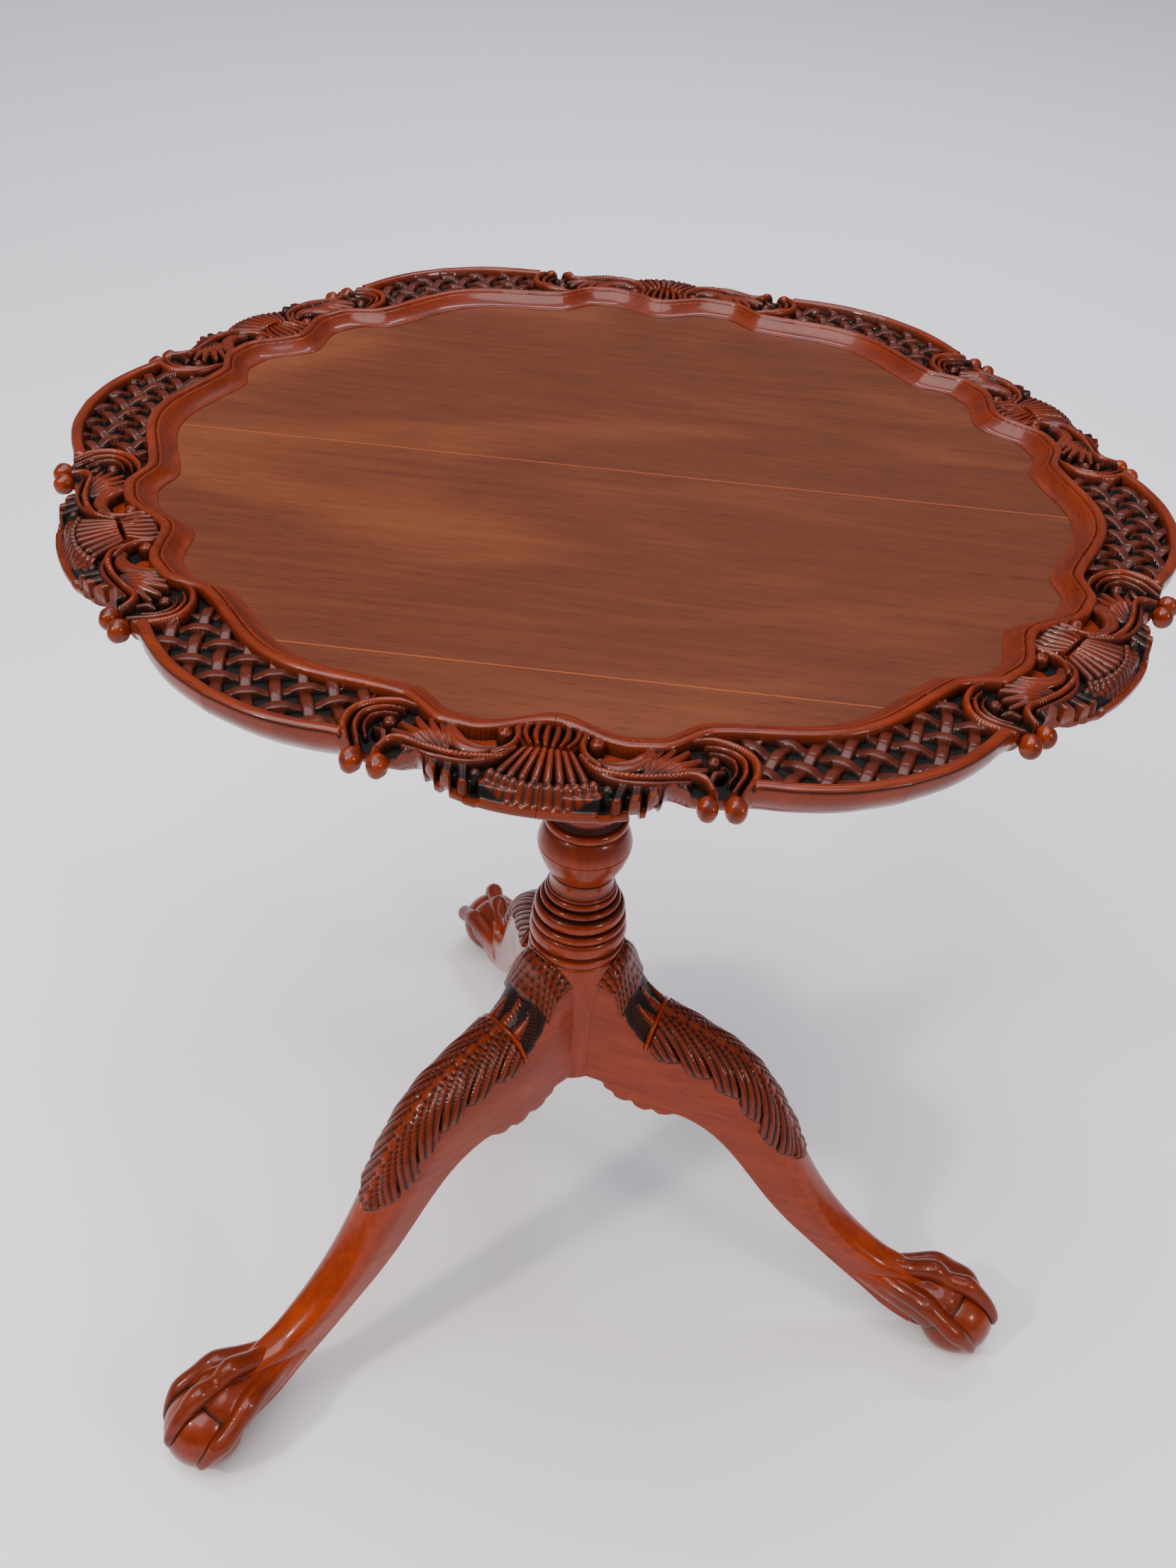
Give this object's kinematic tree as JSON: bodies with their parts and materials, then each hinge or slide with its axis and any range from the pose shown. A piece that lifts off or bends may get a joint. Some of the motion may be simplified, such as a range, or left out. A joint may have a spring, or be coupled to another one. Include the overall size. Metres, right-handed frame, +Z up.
{
  "type": "tilt top table",
  "caption": "Round tilt-top tea table: carved scalloped rim around a sunk field, turning birdcage, spring catch, turned pillar on cabriole legs with claw and ball feet.",
  "frame": {"origin": "on the floor, at the middle of the table's overall plan box with its top flat", "axes": "+Z up, +X along the tilt axis to the right, +Y towards the catch at the back; the top tips up from the back edge, which rises"},
  "size_m": [0.7068, 0.6968, 0.7224],
  "materials": {
    "mahogany_polished": "french polished",
    "mahogany_field": "polished, darker and figured",
    "mahogany_underside": "bare, aged",
    "brass_aged": "aged",
    "iron_black": "dark, forged"
  },
  "bodies": {
    "base": {"brace_plate": "iron_black", "brace_screw_leg_1": "iron_black", "brace_screw_leg_2": "iron_black", "brace_screw_leg_3": "iron_black", "brace_screw_pillar_1": "iron_black", "brace_screw_pillar_2": "iron_black", "brace_screw_pillar_3": "iron_black", "cage_collar": "mahogany_underside", "cage_wedge": "mahogany_underside", "leg_back": "mahogany_polished", "leg_front_left": "mahogany_polished", "leg_right": "mahogany_polished", "pillar": "mahogany_polished"},
    "birdcage": {"cage_lower_plate": "mahogany_underside", "cage_upper_plate": "mahogany_underside", "colonette_back_left": "mahogany_underside", "colonette_back_right": "mahogany_underside", "colonette_front_left": "mahogany_underside", "colonette_front_right": "mahogany_underside", "pivot_pin_left": "mahogany_underside", "pivot_pin_right": "mahogany_underside", "strike_plate": "brass_aged", "strike_screw_left": "brass_aged", "strike_screw_right": "brass_aged"},
    "top": {"bearer_left": "mahogany_underside", "bearer_right": "mahogany_underside", "bearer_screw_left_1": "iron_black", "bearer_screw_left_2": "iron_black", "bearer_screw_left_3": "iron_black", "bearer_screw_right_1": "iron_black", "bearer_screw_right_2": "iron_black", "bearer_screw_right_3": "iron_black", "board_back": "mahogany_field", "board_front": "mahogany_field", "board_middle": "mahogany_field", "catch_plate": "brass_aged", "catch_screw_1": "brass_aged", "catch_screw_2": "brass_aged", "catch_screw_3": "brass_aged", "catch_screw_4": "brass_aged", "catch_spring": "iron_black", "rim_segment_1": "mahogany_polished", "rim_segment_2": "mahogany_polished", "rim_segment_3": "mahogany_polished", "rim_segment_4": "mahogany_polished", "rim_segment_5": "mahogany_polished", "rim_segment_6": "mahogany_polished"},
    "catch_bolt": {"catch_bolt": "brass_aged", "catch_knob": "brass_aged"}
  },
  "joints": [
    {"name": "cage_swivel", "type": "hinge", "parent": "base", "child": "birdcage", "pos_m": [-0.02127, -0.01419, 0.6018], "axis": [0, 0, 1], "continuous": true},
    {"name": "top_tilt", "type": "hinge", "parent": "birdcage", "child": "top", "pos_m": [-0.02127, -0.10319, 0.6907], "axis": [1, 0, 0], "range_deg": [0, 90]},
    {"name": "catch_slide", "type": "slide", "parent": "top", "child": "catch_bolt", "axis": [0, 1, 0], "range_m": [0, 0.009], "stiffness_N_per_m": 250, "springref_m": -0.004, "deforming": ["catch_spring"]}
  ]
}
